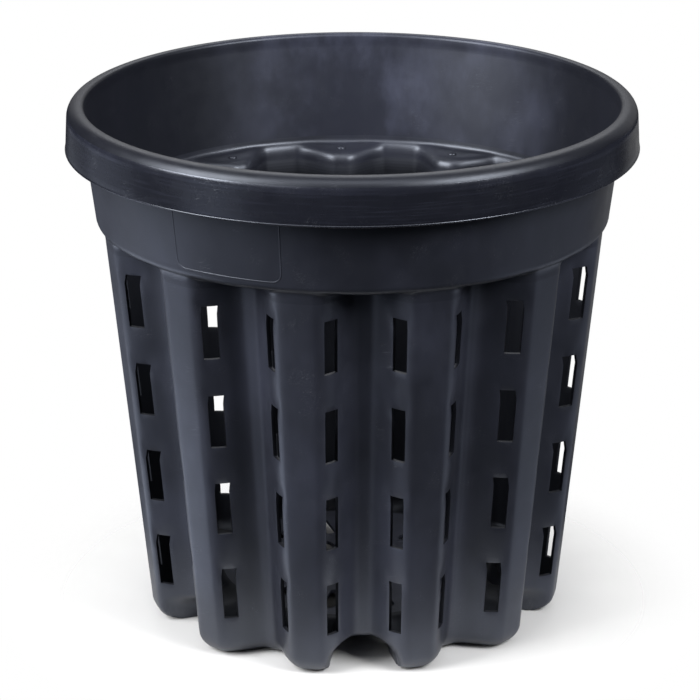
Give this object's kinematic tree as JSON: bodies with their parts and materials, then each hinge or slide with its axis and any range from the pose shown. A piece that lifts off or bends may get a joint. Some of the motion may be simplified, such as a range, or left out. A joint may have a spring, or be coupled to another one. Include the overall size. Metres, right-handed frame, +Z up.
{
  "type": "root pruning pot",
  "caption": "Round black plastic plant pot with a hooked rim, a plain collar and a lobed, tapering wall with rows of air slots that prune roots, on a ring of feet.",
  "frame": {"origin": "middle of the ring of feet, on the ground", "axes": "+Z up along the pot's axis; lobes are centred on the X and Y axes"},
  "size_m": [0.303, 0.303, 0.283],
  "materials": {
    "black_plastic": "satin, moulded, slightly dusty"
  },
  "bodies": {
    "root": {"rim_crown": "black_plastic", "rim_skirt": "black_plastic", "collar": "black_plastic", "shelf": "black_plastic", "lobe_01": "black_plastic", "lobe_02": "black_plastic", "lobe_03": "black_plastic", "lobe_04": "black_plastic", "lobe_05": "black_plastic", "lobe_06": "black_plastic", "lobe_07": "black_plastic", "lobe_08": "black_plastic", "lobe_09": "black_plastic", "lobe_10": "black_plastic", "lobe_11": "black_plastic", "lobe_12": "black_plastic", "foot_01": "black_plastic", "foot_02": "black_plastic", "foot_03": "black_plastic", "foot_04": "black_plastic", "foot_05": "black_plastic", "foot_06": "black_plastic", "foot_07": "black_plastic", "foot_08": "black_plastic", "foot_09": "black_plastic", "foot_10": "black_plastic", "foot_11": "black_plastic", "foot_12": "black_plastic", "floor": "black_plastic"}
  },
  "joints": []
}
